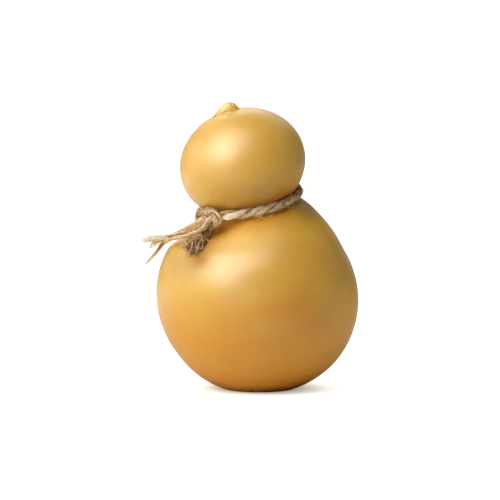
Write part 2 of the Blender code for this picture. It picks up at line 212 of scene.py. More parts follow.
# Single fibres: tone, thickness, stations of (x, y, z). The darkest are painted shade along gaps in
# the knot and beside the curl
STRAY_FIBRES = (
    (0.3, 0.14, ((-33.5, -7.5, 58.9), (-37.0, -7.2, 58.75), (-40.5, -7.0, 58.5),
        (-43.6, -6.9, 58.2))),
    (0.95, 0.11, ((-24.2, -18.2, 59.3), (-24.8, -20.6, 58.1), (-24.8, -23.6, 56.7),
        (-25.2, -25.2, 55.2), (-25.8, -25.7, 54.3))),
    (0.95, 0.11, ((-24.4, -21.0, 58.3), (-24.8, -22.6, 57.5), (-26.0, -22.8, 56.8),
        (-27.2, -21.6, 56.7), (-27.9, -19.4, 57.3))),
    (0.8, 0.1, ((-23.8, -23.6, 56.3), (-23.0, -25.7, 55.4), (-22.9, -26.6, 54.4),
        (-23.4, -27.0, 53.6))),
    (0.6, 0.1, ((-19.9, -20.4, 58.6), (-19.2, -21.8, 57.9), (-18.7, -22.1, 57.8),
        (-18.2, -22.9, 57.5))),
    (0.65, 0.1, ((-18.6, -17.6, 62.2), (-18.2, -18.6, 61.1), (-18.7, -19.4, 60.0),
        (-19.3, -20.4, 59.0))),
    (0.42, 0.09, ((-31.5, -2.4, 56.3), (-32.0, -5.8, 55.6), (-31.5, -10.4, 55.0),
        (-30.4, -13.9, 54.6))),
    (0.38, 0.09, ((-30.3, -6.4, 56.2), (-30.9, -10.1, 55.3), (-31.8, -11.4, 54.5))),
    (0.42, 0.09, ((-29.2, -10.4, 56.1), (-29.7, -14.2, 55.0), (-30.6, -14.3, 54.5))),
    (-0.1, 0.36, ((-23.4, -12.6, 66.5), (-22.6, -13.8, 66.1), (-21.5, -15.4, 65.8))),
    (0.95, 0.2, ((-21.6, -14.8, 67.3), (-20.6, -16.6, 66.6), (-19.8, -17.8, 66.3))),
    (0.9, 0.16, ((-20.9, -15.8, 67.9), (-19.8, -17.6, 67.2), (-18.9, -18.8, 67.0))),
    (-0.1, 0.24, ((-19.6, -18.2, 68.5), (-18.7, -19.4, 67.6), (-18.4, -19.9, 66.6))),
    (-0.1, 0.2, ((-19.8, -19.4, 65.8), (-22.3, -18.3, 63.0), (-25.1, -15.2, 60.8))),
    (-0.1, 0.24, ((-24.0, -15.8, 61.6), (-27.8, -12.6, 59.5), (-31.6, -9.8, 58.7),
        (-34.7, -9.2, 58.35))),
    (0.05, 0.16, ((-16.7, -21.7, 67.1), (-17.6, -21.8, 64.7), (-19.4, -20.6, 61.9),
        (-21.9, -18.3, 60.3))),
    (2.0, 0.13, ((-2.6, -20.4, 66.9), (-1.0, -20.2, 66.6), (0.1, -20.4, 67.0),
        (0.4, -20.0, 66.3), (-0.9, -20.2, 65.0))),
    (2.0, 0.11, ((-1.5, -20.3, 66.2), (-0.4, -20.4, 66.6), (1.2, -20.2, 66.2), (2.3, -20.0, 65.4))),
    (1.8, 0.11, ((3.0, -19.6, 67.2), (3.7, -19.4, 66.5), (4.5, -19.2, 67.0), (5.2, -18.6, 67.8))),
    (1.6, 0.1, ((10.6, -14.3, 69.8), (11.5, -13.8, 69.5), (12.7, -12.6, 69.9),
        (13.2, -11.3, 70.7), (12.2, -12.0, 71.2))),
)

# The set's soft boxes: name, degrees left of the front and up, distance, size, power, colour
WHITE, WARM_WHITE = (1.0, 1.0, 1.0), (1.0, 0.985, 0.95)
SOFTBOXES = (
    ("key light", 50, 44, 1.1, (1.25, 1.1), 10.0, WARM_WHITE),
    ("key core", 45, 38, 1.0, (0.5, 0.6), 2.4, WARM_WHITE),
    ("top light", 45, 73, 1.1, (1.0, 0.7), 2.2, WARM_WHITE),
    ("left light", 108, 16, 1.2, (1.2, 0.6), 1.5, WHITE),
    ("back light", 180, 40, 1.3, (1.4, 0.6), 2.0, WHITE),
    ("back strip", 178, 38, 1.3, (0.5, 0.1), 0.55, WHITE),
)
SOFTBOX_AIM = (0, 0, 0.055)
KNOT_FILL_AIM, KNOT_FILL_CONE, KNOT_FILL_POWER = (-0.013, -0.0165, 0.0605), radians(1.1), 8.0
# Distances from the object's foot over which the floor's glow grows. The weaker, warmer glow near
# the foot is a painted contact shadow
FLOOR_SIZE, CONTACT, WIDE_GLOW = 30, (0.013, 0.027), (0.06, 0.5)
# Ranges of depth, front to back, and the brightness at their two ends
FLOOR_DEPTH, FILL_RANGE, BACKDROP_RANGE = (-0.05, 0.15), (-0.2, 0.8, 0.05, 0.6), (0.86, 1, 0.05, 1)
CAMERA_AIM, CAMERA_DISTANCE, CAMERA_DOWN = (-0.00347, 0, 0.05275), 0.95, radians(4)
LENS, SENSOR = 180, 36

# The Mix node's sockets for colours
MIX_FIRST, MIX_SECOND, MIX_RESULT = 6, 7, 2

rng = np.random.default_rng(11)


# -------- shape helpers

def eased(value, start, end):
    """0 up to start, 1 from end on, and a smooth step between them."""
    t = np.clip((value - start) / (end - start), 0, 1)
    return t * t * (3 - 2 * t)


def eased_total(value, start, end):
    """The area under eased() up to value."""
    t = np.clip((value - start) / (end - start), 0, 1)
    return (end - start) * (t**3 - t**4 / 2) + np.maximum(value - end, 0)


def bump(value, centre, width):
    """A smooth hill, 1 at its centre."""
    return np.exp(-(((value - centre) / width) ** 2))


def hill(points, centre, widths):
    """A smooth hill, 1 at its centre, with its own half width along each axis."""
    return bump(np.linalg.norm((points - centre) / np.array(widths), axis=-1), 0, 1)


def near_stretch(points, start, end, width):
    """1 on a straight stretch and less away from it."""
    start, end = np.array(start), np.array(end)
    along = np.clip((points - start) @ (end - start) / np.sum((end - start) ** 2), 0, 1)
    nearest = start + along[..., None] * (end - start)
    return bump(np.linalg.norm(points - nearest, axis=-1), 0, width)


def leaned(x, y, height):
    """Where points of the upright pear lie on the leaning one."""
    bend = eased_total(height, LEAN_FROM, LEAN_TO)
    sidestep = BELLY_SIDESTEP * eased(height, 0, SIDESTEP_TOP)
    slide = sidestep - BELLY_LEAN * height - (HEAD_LEAN - BELLY_LEAN) * bend
    above = (1 - NECK_TURN) * eased(height, GROOVE_TOP, TURN_TO)
    lean = HEAD_LEAN * (above + NECK_TURN * eased(height, TURN_FROM, GROOVE_FOOT))
    up_to_groove = np.clip((height - NOD_FROM) / (GROOVE_FOOT - NOD_FROM), 0, 1)
    nod = HEAD_NOD * (above + NECK_TURN * up_to_groove**NOD_GROWTH)
    lift = y * np.sin(nod)
    return np.stack([
        slide + x * np.cos(lean) - lift * np.sin(lean),
        -HEAD_NOD * bend + y * np.cos(nod),
        height + x * np.sin(lean) + lift * np.cos(lean),
    ], -1)


def waves(points, length, seed):
    """Smooth noise of about that wavelength, as a sum of plane waves. About -1 to 1."""
    draw = np.random.default_rng(seed)
    headings = draw.normal(size=(WAVE_COUNT, 3))
    headings /= np.linalg.norm(headings, axis=1)[:, None]
    steps = tau / (length * draw.uniform(0.75, 1.4, WAVE_COUNT))
    phases = draw.uniform(0, tau, WAVE_COUNT)
    total = np.zeros(points.shape[:-1])
    for heading, step, phase in zip(headings, steps, phases):
        total += np.cos(points @ (heading * step) + phase)
    return total / np.sqrt(WAVE_COUNT)


def unit(vectors):
    """Vectors made 1 long."""
    return vectors / np.maximum(np.linalg.norm(vectors, axis=-1, keepdims=True), 1e-12)


def travelled_along(path):
    """The distance along a path at each of its points."""
    gaps = np.linalg.norm(np.diff(path, axis=0), axis=1)
    return np.concatenate([[0], np.cumsum(gaps)])


def read_off(stops, places, rows):
    """Rows of numbers read off at stops, from the places where they are known."""
    return np.stack([np.interp(stops, places, column) for column in rows.T], -1)


def arc(centre, radii, start, end, steps):
    """Points of an upright ellipse's arc."""
    angles = np.linspace(start, end, steps)
    return np.array(centre) + np.stack([np.cos(angles), np.sin(angles)], 1) * radii


def bridge(before, after, start_reach, end_reach, steps):
    """A smooth curve that joins two outlines and leaves each along its own direction."""
    a, d = before[-1], after[0]
    b = a + unit(a - before[-2]) * start_reach
    c = d - unit(after[1] - d) * end_reach
    t = np.linspace(0, 1, steps)[:, None]
    return ((1 - t) ** 3 * a + 3 * (1 - t) ** 2 * t * b + 3 * (1 - t) * t**2 * c + t**3 * d)[1:-1]


def pear_outline():
    """The upright pear's outline (radius, height) from the foot's centre to the pole."""
    foot_angle = asin(-BELLY_CENTRE / BELLY_HALF_HEIGHT)
    belly_radii = (BELLY_RADIUS, BELLY_HALF_HEIGHT)
    belly = arc((0, BELLY_CENTRE), belly_radii, foot_angle, SHOULDER_START, 500)
    groove_radii = (GROOVE_RADIUS, GROOVE_RADIUS)
    groove = arc((RING_RADIUS, RING_HEIGHT), groove_radii, GROOVE_START, GROOVE_END, 60)
    head_radii = (HEAD_RADIUS, HEAD_HALF_HEIGHT)
    head = arc((0, HEAD_CENTRE), head_radii, JAW_START, pi / 2, 600)
    shoulder = bridge(belly, groove, *SHOULDER_REACHES, 160)
    jaw = bridge(groove, head, *JAW_REACHES, 90)
    foot = np.stack([np.linspace(0, belly[0, 0], 40)[:-1], np.zeros(39)], 1)
    fine = np.concatenate([foot, belly, shoulder, groove, jaw, head])
    travelled = travelled_along(fine)
    stops = [0.0]
    while stops[-1] < travelled[-1]:
        radius, height = read_off(stops[-1], travelled, fine)
        near_groove = bump(height, RING_HEIGHT, 5)
        near_crown = float(eased(height, HEAD_CENTRE + 10, HEAD_CENTRE + 16))
        near_rim = bump(radius, 13, 4) if height < 3 else 0
        share = max(near_groove, near_crown, near_rim)
        stops.append(stops[-1] + COARSE_STEP + (FINE_STEP - COARSE_STEP) * share)
    stops = np.array(stops) * travelled[-1] / stops[-1]
    return read_off(stops, travelled, fine)


def nub_reach(x, y):
    """How far out of the nub a point of the crown is: 0 at its peak, 1 at its foot."""
    along = x - NUB_PEAK[0]
    across = y - NUB_PEAK[1]
    along = along / np.where(along > 0, NUB_REACH["right"], NUB_REACH["left"])
    across = across / np.where(across > 0, NUB_REACH["back"], NUB_REACH["front"])
    return np.hypot(along, across), np.arctan2(across, along)


def lip_height(x, y):
    """The low fold of skin in front of the nub and to its left. 1 at its crest."""
    crest = -4.9 + 0.11 * (x + 1) ** 2
    return bump(y, crest, 0.9) * eased(x, -9.5, -7) * (1 - eased(x, -2.5, 1.5))


def nub_rise(x, y):
    """The pinched nub: a lopsided mound with small marks, and a low fold in front of it."""
    reach, bearing = nub_reach(x, y)
    spot, flat = np.stack([x, y], -1), np.stack([x, y, 0 * x], -1)
    mound = NUB_HEIGHT * np.maximum(0, 1 - reach**NUB_BLUNTNESS)
    moat = 0.2 * bump(reach, 1.1, 0.14) * np.maximum(0, np.cos(bearing + radians(110)))
    ragged = 0.08 * waves(flat, 1.5, 5) * bump(reach, 0.9, 0.3)
    torn = 0.12 * waves(flat * (1, 0.35, 1), 0.7, 6) * hill(spot, (3.6, -0.4), (1.3, 1.6))
    marks = sum(height * hill(spot, centre, widths) for height, centre, widths in NUB_MARKS)
    return mound + 0.6 * lip_height(x, y) - moat + ragged + torn + marks


# -------- mesh helpers

def add_mesh(name, points, faces, values, material):
    """A smooth mesh object from points in millimetres, with named numbers on its points."""
    mesh = bpy.data.meshes.new(name)
    mesh.from_pydata((points * MM).tolist(), [], faces)
    mesh.polygons.foreach_set("use_smooth", [True] * len(mesh.polygons))
    for key, numbers in values.items():
        made = mesh.attributes.new(key, "FLOAT", "POINT")
        made.data.foreach_set("value", np.asarray(numbers, np.float32))
    mesh.materials.append(material)
    mesh.update()
    made = bpy.data.objects.new(name, mesh)
    bpy.context.scene.collection.objects.link(made)
    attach(made, "root")
    return made


def frames_along(paths):
    """Two directions across each path, at each of its points, that turn as little as they can."""
    ahead = unit(np.gradient(paths, axis=1))
    across = np.empty_like(ahead)
    across[:, 0] = unit(np.cross(ahead[:, 0], (0.31, 0.22, 0.93)))
    for i in range(1, paths.shape[1]):
        before, along = across[:, i - 1], ahead[:, i]
        across[:, i] = unit(before - along * np.sum(before * along, -1, keepdims=True))
    return across, np.cross(ahead, across)


def wall_faces(index):
    """The faces between neighbouring rings of points, from the numbers of their points."""
    turned = np.roll(index, -1, axis=-1)
    quads = np.stack([index[:, :-1], turned[:, :-1], turned[:, 1:], index[:, 1:]], -1)
    return quads.reshape(-1, 4).tolist()


def tubes(paths, radii, sides, first):
    """Points and faces of closed tubes, one for each path. first is their first point's number."""
    count, length = paths.shape[:2]
    across, beside = frames_along(paths)
    angles = np.arange(sides)[:, None] * tau / sides
    ring = across[:, :, None] * np.cos(angles) + beside[:, :, None] * np.sin(angles)
    points = paths[:, :, None] + ring * radii[:, :, None, None]
    index = np.arange(count * length * sides).reshape(count, length, sides) + first
    ends = index[:, 0, ::-1].tolist() + index[:, -1].tolist()
    return points.reshape(-1, 3), wall_faces(index) + ends


class Bundle:
    """Collects tubes for one mesh of the twine."""

    def __init__(self):
        self.points, self.faces, self.tones, self.total = [], [], [], 0

    def add(self, paths, radii, sides, tones):
        """Adds a tube for each path. radii and tones have a number for each point."""
        points, faces = tubes(paths, radii, sides, self.total)
        self.points.append(points)
        self.faces += faces
        all_round = np.broadcast_to(tones[:, :, None], (*paths.shape[:2], sides))
        self.tones.append(all_round.reshape(-1))
        self.total += len(points)

    def make(self, name, material):
        """Makes the mesh, in place of the plain solid."""
        values = {"tone": np.concatenate(self.tones)}
        made = add_mesh(name, np.concatenate(self.points), self.faces, values, material)
        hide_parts("twine")


def route(stations, step=ROUTE_STEP):
    """A smooth curve through stations of numbers, the first three a place, in even steps."""
    stations = np.array(stations, float)
    before, after = 2 * stations[:1] - stations[1:2], 2 * stations[-1:] - stations[-2:-1]
    padded = np.concatenate([before, stations, after])
    t = np.linspace(0, 1, 24)[:, None]
    fine = []
    for a, b, c, d in zip(padded, padded[1:], padded[2:], padded[3:]):
        bend = (2 * a - 5 * b + 4 * c - d) * t**2
        fine.append((2 * b + (c - a) * t + bend + (3 * b - a - 3 * c + d) * t**3) / 2)
    fine = np.concatenate(fine)
    travelled = travelled_along(fine[:, :3])
    stops = np.linspace(0, travelled[-1], int(travelled[-1] / step) + 2)
    return read_off(stops, travelled, fine)


# -------- materials

def set_inputs(node, inputs):
    """Sets a node's inputs, each to a number, a colour or another node's output."""
    for key, value in inputs.items():
        socket = node.inputs[key]
        if isinstance(value, bpy.types.NodeSocket):
            node.id_data.links.new(value, socket)
        else:
            socket.default_value = (*value, 1) if socket.type == "RGBA" else value


def add_node(tree, kind, inputs, operation=None):
    """A new node with its inputs set."""
    node = tree.nodes.new("ShaderNode" + kind)
    if operation:
        node.operation = operation
    set_inputs(node, inputs)
    return node


def attribute(tree, name):
    """A number that the mesh has on its points."""
    node = add_node(tree, "Attribute", {})
    node.attribute_name = name
    return node.outputs["Fac"]


def noise(tree, scale, detail, roughness, stretch=None):
    """Noise in the object's own metres."""
    place = add_node(tree, "TexCoord", {}).outputs["Object"]
    if stretch:
        place = add_node(tree, "Mapping", {"Vector": place, "Scale": stretch}).outputs["Vector"]
    inputs = {"Vector": place, "Scale": scale, "Detail": detail, "Roughness": roughness}
    return add_node(tree, "TexNoise", inputs).outputs["Fac"]


def spread(tree, value, low, high, to_low=0.0, to_high=1.0):
    """Value carried from one range to another."""
    ranges = {"From Min": low, "From Max": high, "To Min": to_low, "To Max": to_high}
    return add_node(tree, "MapRange", {"Value": value, **ranges}).outputs["Result"]


def mixed(tree, share, first, second):
    """A colour between two, each a colour or another node's output."""
    node = tree.nodes.new("ShaderNodeMix")
    node.data_type = "RGBA"
    set_inputs(node, {"Factor": share, MIX_FIRST: first, MIX_SECOND: second})
    return node.outputs[MIX_RESULT]


def ramp(tree, value, stops):
    """Colours along a value: each stop is (place, colour)."""
    node = add_node(tree, "ValToRGB", {"Fac": value})
    elements = node.color_ramp.elements
    while len(elements) < len(stops):
        elements.new(0.5)
    for element, (place, colour) in zip(elements, stops):
        element.position = place
        element.color = (*colour, 1)
    return node.outputs["Color"]


def relief(tree, height, distance, strength, under=None):
    """A bump from a height, in metres, on another bump if there is one under it."""
    inputs = {"Height": height, "Distance": distance, "Strength": strength}
    if under:
        inputs["Normal"] = under
    return add_node(tree, "Bump", inputs).outputs["Normal"]


def seen_by_rays(tree, light, glossy, camera):
    """One shader for the light that objects get, one for reflections and one for the camera."""
    rays = add_node(tree, "LightPath", {})
    for ray, shader in (("Is Glossy Ray", glossy), ("Is Camera Ray", camera)):
        choice = {"Fac": rays.outputs[ray], 1: light.outputs[0], 2: shader.outputs[0]}
        light = add_node(tree, "MixShader", choice)
    return light.outputs[0]


def make_skin_material():
    """Smoked skin: golden straw, browner low down, a little see-through, with painted shade in the
    neck and elsewhere and painted highlights.
    """
    material = bpy.data.materials.new("smoked_skin")
    material.use_nodes = True
    tree = material.node_tree
    freckles = noise(tree, 900, 3, 0.6)
    colour = ramp(tree, spread(tree, noise(tree, 55, 3, 0.5), 0.34, 0.68), STRAW)
    patch_share = spread(tree, noise(tree, 150, 4, 0.6), 0.52, 0.74, 0, 0.3)
    colour = mixed(tree, patch_share, colour, PATCH_COLOUR)
    colour = mixed(tree, spread(tree, freckles, 0.55, 0.75, 0, 0.12), colour, FRECKLE_COLOUR)
    for key, shade_colour in SHADE_COLOURS.items():
        colour = mixed(tree, attribute(tree, key), colour, shade_colour)
    dimples = relief(tree, noise(tree, 380, 2, 0.5), 0.12 * MM, 0.5)
    streaks = relief(tree, noise(tree, 650, 2, 0.5, (1.0, 1.0, 0.3)), 0.06 * MM, 0.6, dimples)
    dull = attribute(tree, "dull")
    set_inputs(tree.nodes["Principled BSDF"], {
        "Base Color": colour,
        "Roughness": spread(tree, noise(tree, 320, 3, 0.6), 0.3, 0.7, 0.37, 0.46),
        "Normal": relief(tree, freckles, 0.03 * MM, 0.6, streaks),
        "IOR": 1.55,
        "Specular IOR Level": spread(tree, dull, 0.0, 1.0, 1.0, 0.1),
        "Subsurface Weight": 0.35,
        "Subsurface Radius": (1.0, 0.45, 0.12),
        "Subsurface Scale": 4 * MM,
        "Coat Weight": spread(tree, dull, 0.0, 0.8, 0.45, 0.0),
        "Coat Roughness": 0.28,
    })
    return material


def make_jute_material():
    """Dull jute: each fibre has its own tone, with streaks and pale hairs."""
    material = bpy.data.materials.new("jute")
    material.use_nodes = True
    tree = material.node_tree
    tone = attribute(tree, "tone")
    blotch = spread(tree, noise(tree, 420, 3, 0.6), 0.3, 0.7, -0.16, 0.16)
    colour = ramp(tree, add_node(tree, "Math", {0: tone, 1: blotch}, "ADD").outputs[0], JUTE)
    set_inputs(tree.nodes["Principled BSDF"], {
        "Base Color": mixed(tree, spread(tree, tone, 1.3, 2.0), colour, GOLDEN),
        "Roughness": 0.6,
        "Normal": relief(tree, noise(tree, 2600, 2, 0.5), 0.04 * MM, 0.5),
        "Specular IOR Level": 0.2,
        "Coat Weight": spread(tree, tone, 1.0, 1.2, 0.0, 0.8),
        "Coat Roughness": 0.35,
        "Coat Tint": (1.0, 0.93, 0.8),
    })
    return material


# -------- the cheese

def pear_grid():
    """Rows of points round the upright pear, from the foot up, and their outward directions."""
    outline = pear_outline()
    slope = unit(np.gradient(outline, axis=0))[1:-1]
    radius, height = outline[1:-1, :1], outline[1:-1, 1:]
    angles = np.arange(SKIN_SIDES) * tau / SKIN_SIDES
    ahead, aside, level = np.cos(angles), np.sin(angles), 0 * angles
    upright = np.stack([radius * ahead, radius * aside, height + level], -1)
    outward = np.stack([slope[:, 1:] * ahead, slope[:, 1:] * aside, level - slope[:, :1]], -1)
    return upright, outward


def skin_points(upright, outward):
    """The skin's points: faint lumps, pleats beside the twine and the nub, all leaned."""
    x, y, z = np.moveaxis(upright, -1, 0)
    from_ring = np.abs(z - RING_HEIGHT)
    near_twine = np.exp(-from_ring / PLEAT_FADE)
    lumps = sum(height * waves(upright, length, seed) for height, length, seed in LUMPS)
    around = 12 * unit(upright[:1] * (1, 1, 0))
    pleats = PLEAT_HEIGHT * waves(around, PLEAT_LENGTH, PLEAT_SEED)
    pleats = pleats * near_twine * eased(from_ring, 1.6, 3.0)
    shift = (lumps * (1 - near_twine) + pleats) * eased(z, 0.0, 2.5)
    moved = upright + outward * shift[..., None]
    on_crown = (z > HEAD_CENTRE) * eased(z, HEAD_CENTRE + 4, HEAD_CENTRE + 12)
    moved[..., 2] += nub_rise(x, y) * on_crown
    return leaned(*np.moveaxis(moved, -1, 0))


def skin_shades(upright, points):
    """How much of each mixed colour each point of the skin takes, and how dull it is. The shares
    are partly the skin's own colour and mostly painted shade and painted highlights.
    """
    x, y, z = np.moveaxis(upright, -1, 0)
    across, from_front = points[..., 0], points[..., ::2]
    front, on_head = y < 0, z > RING_HEIGHT
    reach, bearing = nub_reach(x, y)
    crown = eased(z, HEAD_CENTRE + 10, HEAD_CENTRE + 13)
    mottle = 0.5 + 0.5 * waves(upright, 7, 8)

    # Painted shade in the neck's groove, above and below the ring, weaker below it at the front and
    # near the knot
    below_ring = 0.75 * bump(z, RING_HEIGHT, 4.6) * (0.3 + 0.7 * eased(x, 0, 13))
    in_groove = np.where(on_head, bump(z, RING_HEIGHT, 4.2), below_ring)
    in_groove = in_groove * (0.8 + 0.2 * mottle) * (0.4 + 0.6 * eased(x, -15, -2))
    # Painted warm shade under the ring at the front
    under_ring = bump(z, RING_HEIGHT - 3.5, 4.5) * front * (1 - eased(x, 6, 16))
    # Browner towards the foot: partly the skin's own colour, partly painted shade where the belly
    # curves under
    low_down = 0.35 * (1 - eased(z, 0, 12))
    # Painted shade: a browner patch and an oranger band low on the belly's front, where the skin
    # reflects little light
    shaded_patch = hill(upright, (13, -36, 34.5), (8.5, 8.5, 8.5 / 1.5))
    shaded_band = hill(upright[..., ::2], (0, 34), (17, 4)) * front
    # Painted shade on the right front shoulder
    shoulder = hill(np.stack([across, z], -1), (15, 60), (10, 13)) * front
    right_edge = 0.9 * eased(across, 27, 35) * bump(z, 33, 11)
    neck_sides = bump(z, 77, 5) * eased(x, 4, 16) + bump(z, 64, 7) * eased(x, 8, 20)
    # Painted shade on the head's lower part and in a line just above the ring, and a little on its
    # lower left
    jaw = 0.3 * bump(z, 74.5, 2.6) * eased(x, -12, -3)
    jaw = (jaw + 0.32 * (1 - eased(z, 76, 88)) * eased(x, -19, -8)) * (0.6 + 0.4 * bump(x, 0, 10))
    cheek = 0.1 * (1 - eased(x, -24, -17)) * (1 - eased(z, 78, 88))
    # Painted shade beside the ring's right end
    beside_ring = 0.35 * hill(from_front, (18.5, 69.5), (5.5, 5.5))
    # Painted shade in the nub's pit, in the crease at its front foot and on its back
    pit = 1.3 * hill(upright[..., :2], (-6.3, 1.8), (0.7, 1.4))
    nub_foot = 0.2 * bump(reach, 1.05, 0.14) * (bearing < 0) * (1 - eased(x, 0, 2.5))
    nub_back = 0.5 * eased(y, 2.5, 3.2) * (reach < 1)
    # Painted shadow beside and below the tuft; by the curl only gloss is taken away
    by_left, by_tuft, by_curl = (
        near_stretch(points, *stretch) for stretch in (LEFT_STRETCH, TUFT_STRETCH, CURL_STRETCH)
    )

    smoke_and_shade = in_groove + low_down + 0.3 * shaded_patch + 0.35 * by_tuft
    orange_and_shade = 0.85 * (1 - eased(z, 20, 42)) + 0.45 * shaded_band + 0.5 * shaded_patch + 0.15 * mottle
    orange_and_shade = orange_and_shade + 0.7 * under_ring + 0.8 * by_tuft + 0.15 * shoulder
    # Paler on the nub; the paler crest of the fold in front of it, and the paler patches on the
    # front, are painted highlights
    pale = crown * (0.4 * (1 - eased(reach, 0.3, 1.0)) + 0.75 * lip_height(x, y))
    for centre, widths, share in PAINTED_HIGHLIGHTS:
        pale = pale + share * hill(from_front, centre, widths) * front
    dull = 1.6 * in_groove + low_down + neck_sides + by_tuft + by_curl + right_edge
    dull = dull + 0.35 * shoulder
    dark = crown * (pit + nub_foot + nub_back) + (jaw + cheek) * on_head + beside_ring
    dark = dark + 0.28 * by_left + 0.22 * by_tuft + 0.13 * shoulder
    shades = {"smoke_and_shade": smoke_and_shade, "orange_and_shade": orange_and_shade, "pale": pale, "dull": dull}
    return {"dark": dark, **{key: np.clip(shade, 0, 1) for key, shade in shades.items()}}


def make_cheese(material):
    """The skin: one closed, finely divided surface in place of the plain solid."""
    upright, outward = pear_grid()
    points = skin_points(upright, outward)
    count = points[..., 0].size
    index = np.arange(count).reshape(-1, SKIN_SIDES)
    first, last = index[0].tolist(), index[-1].tolist()
    faces = wall_faces(index[None])
    faces += [(b, a, count) for a, b in zip(first, first[1:] + first[:1])]
    faces += [(a, b, count + 1) for a, b in zip(last, last[1:] + last[:1])]
    middle = np.zeros(1)
    top = HEAD_CENTRE + HEAD_HALF_HEIGHT + nub_rise(middle, middle)
    foot, pole = leaned(middle, middle, middle), leaned(middle, middle, top)
    values = {}
    for key, shade in skin_shades(upright, points).items():
        values[key] = np.concatenate([shade.reshape(-1), [shade[0].mean(), shade[-1].mean()]])
    every = np.concatenate([points.reshape(-1, 3), foot, pole])
    skin = add_mesh("cheese_skin", every, faces, values, material)
    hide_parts("cheese")


# -------- twine in fibres

def ring_stations():
    """Stations round the neck, raised at the front and thinner at the right."""
    angles = np.linspace(radians(RING_FROM), radians(RING_TO), RING_COUNT + 1)
    x, y = -RING_RADIUS * np.sin(angles), -RING_RADIUS * np.cos(angles)
    centres = leaned(x, y, RING_HEIGHT + 0 * angles)
    centres[:, 2] += RING_LIFT * bump(angles, radians(4), radians(28))
    shares = RING_SHARE - RING_THINNING * bump(angles, radians(-75), radians(30))
    return [(*centre, share) for centre, share in zip(centres, shares)]


def along_route(stations):
    """A route's places, thickness, distance travelled and two directions across it."""
    path = stations[:, :3]
    across, beside = frames_along(path[None])
    return path, stations[:, 3] * TWINE_RADIUS, travelled_along(path), across[0], beside[0]


def round_about(across, beside, angle):
    """Directions out of a path at angles round it."""
    return across * np.cos(angle)[..., None] + beside * np.sin(angle)[..., None]


def drawn(count, low, high):
    """A random number for each fibre, to go with its points."""
    return rng.uniform(low, high, count)[:, None]


def own_tones(tone, scatter, radii):
    """A tone for each fibre, which differs from fibre to fibre, at each of its points."""
    return np.broadcast_to(tone + rng.normal(0, scatter, len(radii))[:, None], radii.shape)


def wander(away, count, amount, slow=0.15, fast=0.5):
    """A slow random sway along a route, one for each of count fibres."""
    pace = drawn(count, slow, fast)
    return amount * np.sin(away[None] * pace + drawn(count, 0, tau))


def ply_fibres(bundle, path, widths, tones, axis, reach):
    """A ply: a darker core wrapped with clumps of fibres, which are darker deep between the plies.
    Both are painted shade.
    """
    away = travelled_along(path)
    swell = wander(away, 1, 0.06, 0.7, 1.1)[0] + wander(away, 1, 0.04, 1.8, 2.4)[0]
    widths = widths * (1 + swell)
    # The darker core is painted shade
    bundle.add(path[None], (widths * CORE_SHARE)[None], 10, (tones - CORE_SHADE)[None])
    across, beside = frames_along(path[None])
    count, clumps = PLY_FIBRES, PLY_FIBRES // CLUMP
    clump = np.arange(count) * clumps // count
    angle = np.arange(count)[:, None] * tau / count + tau * away[None] / FIBRE_LAY
    angle = angle + wander(away, clumps, 0.22)[clump] + wander(away, count, 0.1)
    depth = drawn(clumps, 0.86, 1.0)[clump]
    depth = depth + wander(away, clumps, 0.05, 0.3, 0.8)[clump]
    depth = depth + wander(away, count, 0.03, 0.5, 1.2)
    ring = round_about(across, beside, angle)
    fibres = path[None] + ring * (widths[None] * depth)[..., None]
    radii = FIBRE_RADIUS * drawn(count, 0.65, 1.3) * np.minimum(1, widths / 0.5)[None]
    radii = radii * (1 + wander(away, count, 0.25, 0.8, 1.6))
    # Fibres deeper in, between the plies, are darker: painted shade
    outward = np.linalg.norm(fibres - axis[None], axis=-1) / reach[None]
    shade = tones[None] + DEPTH_SHADE * np.clip(outward - 0.86, -0.5, 0.2)
    shade = shade + rng.normal(0, 0.1, clumps)[clump][:, None]
    shade = shade + rng.normal(0, 0.09, count)[:, None]
    shade = shade + wander(away, clumps, 0.09, 0.3, 0.7)[clump]
    bundle.add(fibres, radii, 4, shade)


def laid_strand(bundles, stations, tone, phase=0.0, glow=0.0):
    """Three plies laid round each other, one in each bundle.

    glow is a painted highlight: it brightens and widens a ply where it faces the front.
    """
    path, reach, away, across, beside = along_route(stations)
    share = stations[:, 3]
    for ply, bundle in enumerate(bundles):
        ring = round_about(across, beside, phase - tau * away / LAY_LENGTH + tau * ply / 3)
        # A painted highlight where the ply faces the front
        lit = glow * np.clip(-ring[:, 1], 0, 1)
        centre = path + ring * (share * PLY_OFFSET)[:, None]
        tones = tone + rng.normal(0, 0.04) + lit
        ply_fibres(bundle, centre, share * PLY_RADIUS * (1 + 0.3 * lit), tones, path, reach)


def phase_facing_front(stations, x):
    """The phase that turns a strand's first ply to the front where its route passes x."""
    path, _, away, across, beside = along_route(stations)
    here = int(np.argmin(np.abs(path[:, 0] - x) + np.where(path[:, 1] > 0, 99, 0)))
    return np.arctan2(-beside[here, 1], -across[here, 1]) + tau * away[here] / LAY_LENGTH


